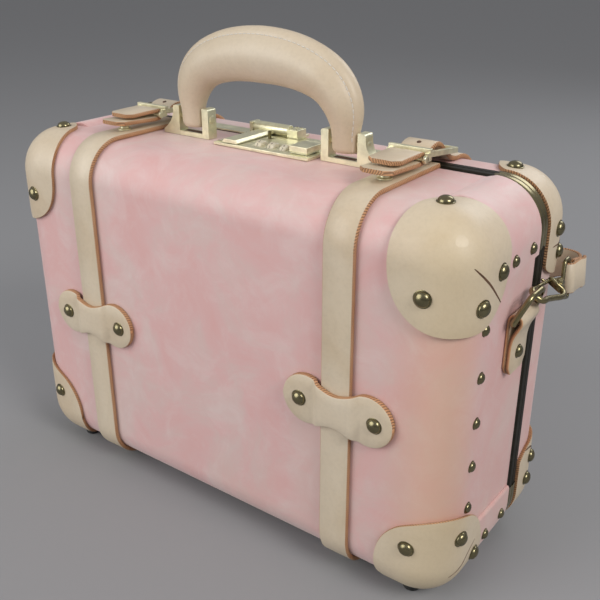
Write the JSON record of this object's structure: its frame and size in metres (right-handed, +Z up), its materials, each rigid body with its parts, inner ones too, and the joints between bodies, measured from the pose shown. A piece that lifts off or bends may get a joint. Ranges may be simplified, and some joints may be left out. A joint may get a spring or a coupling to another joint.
{
  "type": "hard shell suitcase",
  "caption": "Hard shell vintage suitcase with leather straps, corner caps, top handle, combination lock and a hooked-on shoulder strap.",
  "frame": {"origin": "middle of the footprint, on the floor under the feet", "axes": "+X along the case's width to its right as seen from the front, +Y from the front to the lid side, +Z up"},
  "size_m": [0.392, 0.1836, 0.3289],
  "materials": {
    "base_shell": "mottled leatherette over moulded board",
    "base_lining": "matt woven cloth",
    "base_frame": "dark bronze lacquer",
    "base_strap_left": "smooth cream leather with raw tan edges",
    "base_strap_right": "smooth cream leather with raw tan edges",
    "strap_keeper_left": "smooth cream leather with raw tan edges",
    "strap_keeper_right": "smooth cream leather with raw tan edges",
    "cap_front_top_left": "smooth cream leather with raw tan edges",
    "cap_front_top_right": "smooth cream leather with raw tan edges",
    "cap_front_bottom_left": "smooth cream leather with raw tan edges",
    "cap_front_bottom_right": "smooth cream leather with raw tan edges",
    "foot_front_left": "matt",
    "foot_front_right": "matt",
    "handle_bracket_left": "pale polished plate",
    "handle_bracket_right": "pale polished plate",
    "lock_plate": "pale polished plate",
    "dial_shaft": "plain",
    "snap_stud_left": "pale polished plate",
    "snap_stud_right": "pale polished plate",
    "hinge_leaf_base": "pale polished plate",
    "hinge_pin": "plain",
    "side_chape_left": "smooth cream leather with raw tan edges",
    "side_chape_right": "smooth cream leather with raw tan edges",
    "shoulder_strap": "smooth cream leather with raw tan edges",
    "lid_shell": "mottled leatherette over moulded board",
    "lid_lining": "matt woven cloth",
    "lid_frame": "dark bronze lacquer",
    "lid_strap_left": "smooth cream leather with raw tan edges",
    "lid_strap_right": "smooth cream leather with raw tan edges",
    "cap_rear_top_left": "smooth cream leather with raw tan edges",
    "cap_rear_top_right": "smooth cream leather with raw tan edges",
    "cap_rear_bottom_left": "smooth cream leather with raw tan edges",
    "cap_rear_bottom_right": "smooth cream leather with raw tan edges",
    "foot_rear_left": "matt",
    "foot_rear_right": "matt",
    "buckle_left": "pale polished plate",
    "buckle_right": "pale polished plate",
    "hinge_leaf_lid": "pale polished plate",
    "hasp_mount": "pale polished plate",
    "handle_grip": "smooth cream leather with raw tan edges",
    "dial_1": "satin",
    "dial_2": "satin",
    "dial_3": "satin",
    "slide_button": "pale polished plate",
    "code_lever": "pale polished plate",
    "hasp_arm": "pale polished plate",
    "buckle_tab_left": "smooth cream leather with raw tan edges",
    "snap_socket_left": "pale polished plate",
    "side_ring_left": "pale polished plate",
    "snap_hook_left": "pale polished plate",
    "hook_gate_left": "pale polished plate",
    "swivel_eye_left": "pale polished plate",
    "buckle_tab_right": "smooth cream leather with raw tan edges",
    "snap_socket_right": "pale polished plate",
    "side_ring_right": "pale polished plate",
    "snap_hook_right": "pale polished plate",
    "hook_gate_right": "pale polished plate",
    "swivel_eye_right": "pale polished plate"
  },
  "bodies": {
    "base": {"base_shell": "base_shell", "base_lining": "base_lining", "base_frame": "base_frame", "base_strap_left": "base_strap_left", "base_strap_right": "base_strap_right", "strap_keeper_left": "strap_keeper_left", "strap_keeper_right": "strap_keeper_right", "cap_front_top_left": "cap_front_top_left", "cap_front_top_right": "cap_front_top_right", "cap_front_bottom_left": "cap_front_bottom_left", "cap_front_bottom_right": "cap_front_bottom_right", "foot_front_left": "foot_front_left", "foot_front_right": "foot_front_right", "handle_bracket_left": "handle_bracket_left", "handle_bracket_right": "handle_bracket_right", "lock_plate": "lock_plate", "dial_shaft": "dial_shaft", "snap_stud_left": "snap_stud_left", "snap_stud_right": "snap_stud_right", "hinge_leaf_base": "hinge_leaf_base", "hinge_pin": "hinge_pin", "side_chape_left": "side_chape_left", "side_chape_right": "side_chape_right", "shoulder_strap": "shoulder_strap"},
    "lid": {"lid_shell": "lid_shell", "lid_lining": "lid_lining", "lid_frame": "lid_frame", "lid_strap_left": "lid_strap_left", "lid_strap_right": "lid_strap_right", "cap_rear_top_left": "cap_rear_top_left", "cap_rear_top_right": "cap_rear_top_right", "cap_rear_bottom_left": "cap_rear_bottom_left", "cap_rear_bottom_right": "cap_rear_bottom_right", "foot_rear_left": "foot_rear_left", "foot_rear_right": "foot_rear_right", "buckle_left": "buckle_left", "buckle_right": "buckle_right", "hinge_leaf_lid": "hinge_leaf_lid", "hasp_mount": "hasp_mount"},
    "handle": {"handle_grip": "handle_grip"},
    "dial_1": {"dial_1": "dial_1"},
    "dial_2": {"dial_2": "dial_2"},
    "dial_3": {"dial_3": "dial_3"},
    "slide": {"slide_button": "slide_button"},
    "lever": {"code_lever": "code_lever"},
    "hasp": {"hasp_arm": "hasp_arm"},
    "tab_left": {"buckle_tab_left": "buckle_tab_left", "snap_socket_left": "snap_socket_left"},
    "ring_left": {"side_ring_left": "side_ring_left"},
    "hook_left": {"snap_hook_left": "snap_hook_left"},
    "gate_left": {"hook_gate_left": "hook_gate_left"},
    "swivel_left": {"swivel_eye_left": "swivel_eye_left"},
    "tab_right": {"buckle_tab_right": "buckle_tab_right", "snap_socket_right": "snap_socket_right"},
    "ring_right": {"side_ring_right": "side_ring_right"},
    "hook_right": {"snap_hook_right": "snap_hook_right"},
    "gate_right": {"hook_gate_right": "hook_gate_right"},
    "swivel_right": {"swivel_eye_right": "swivel_eye_right"}
  },
  "joints": [
    {"name": "lid_hinge", "type": "hinge", "parent": "base", "child": "lid", "pos_m": [0, 0.0123, 0.0033], "axis": [-1, 0, 0], "range_deg": [0, 95], "deforming": ["shoulder_strap"]},
    {"name": "handle_swing", "type": "hinge", "parent": "base", "child": "handle", "pos_m": [0, -0.0177, 0.2652], "axis": [1, 0, 0], "range_deg": [-70, 85]},
    {"name": "dial_1_turn", "type": "hinge", "parent": "base", "child": "dial_1", "pos_m": [-0.0045, -0.0172, 0.2516], "axis": [1, 0, 0], "continuous": true},
    {"name": "dial_2_turn", "type": "hinge", "parent": "base", "child": "dial_2", "pos_m": [0.0057, -0.0172, 0.2516], "axis": [1, 0, 0], "continuous": true},
    {"name": "dial_3_turn", "type": "hinge", "parent": "base", "child": "dial_3", "pos_m": [0.0159, -0.0172, 0.2516], "axis": [1, 0, 0], "continuous": true},
    {"name": "slide_release", "type": "slide", "parent": "base", "child": "slide", "axis": [1, 0, 0], "range_m": [0, 0.004], "stiffness_N_per_m": 100, "springref_m": -0.002},
    {"name": "code_set", "type": "slide", "parent": "base", "child": "lever", "axis": [1, 0, 0], "range_m": [0, 0.003]},
    {"name": "hasp_lift", "type": "hinge", "parent": "lid", "child": "hasp", "pos_m": [-0.017, 0.0131, 0.2576], "axis": [-1, 0, 0], "range_deg": [0, 45]},
    {"name": "tab_left_lift", "type": "hinge", "parent": "lid", "child": "tab_left", "pos_m": [-0.1057, -0.0202, 0.2633], "axis": [-1, 0, 0], "range_deg": [0, 85]},
    {"name": "ring_left_swing", "type": "hinge", "parent": "base", "child": "ring_left", "pos_m": [-0.1853, -0.016, 0.182], "axis": [0, -1, 0], "range_deg": [-4, 20], "deforming": ["shoulder_strap"]},
    {"name": "hook_left_pitch", "type": "hinge", "parent": "ring_left", "child": "hook_left", "pos_m": [-0.1892, -0.0065, 0.1923], "axis": [1, 0, 0], "range_deg": [-5, 5], "deforming": ["shoulder_strap"]},
    {"name": "swivel_left_turn", "type": "hinge", "parent": "hook_left", "child": "swivel_left", "pos_m": [-0.1892, 0.03324, 0.18777], "axis": [0, 0.9936, -0.1132], "range_deg": [-8, 8], "deforming": ["shoulder_strap"]},
    {"name": "gate_left_open", "type": "hinge", "parent": "hook_left", "child": "gate_left", "pos_m": [-0.18522, 0.01959, 0.19164], "axis": [0.5, -0.098, -0.8605], "range_deg": [0, 14], "stiffness_Nm_per_rad": 0.05, "springref_deg": -8.59},
    {"name": "tab_right_lift", "type": "hinge", "parent": "lid", "child": "tab_right", "pos_m": [0.1057, -0.0202, 0.2633], "axis": [-1, 0, 0], "range_deg": [0, 85]},
    {"name": "ring_right_swing", "type": "hinge", "parent": "base", "child": "ring_right", "pos_m": [0.1853, -0.016, 0.182], "axis": [0, 1, 0], "range_deg": [-4, 20], "deforming": ["shoulder_strap"]},
    {"name": "hook_right_pitch", "type": "hinge", "parent": "ring_right", "child": "hook_right", "pos_m": [0.1892, -0.0065, 0.1923], "axis": [1, 0, 0], "range_deg": [-5, 5], "deforming": ["shoulder_strap"]},
    {"name": "swivel_right_turn", "type": "hinge", "parent": "hook_right", "child": "swivel_right", "pos_m": [0.1892, 0.03324, 0.18777], "axis": [0, 0.9936, -0.1132], "range_deg": [-8, 8], "deforming": ["shoulder_strap"]},
    {"name": "gate_right_open", "type": "hinge", "parent": "hook_right", "child": "gate_right", "pos_m": [0.18522, 0.01959, 0.19164], "axis": [0.5, 0.098, 0.8605], "range_deg": [0, 14], "stiffness_Nm_per_rad": 0.05, "springref_deg": -8.59}
  ]
}
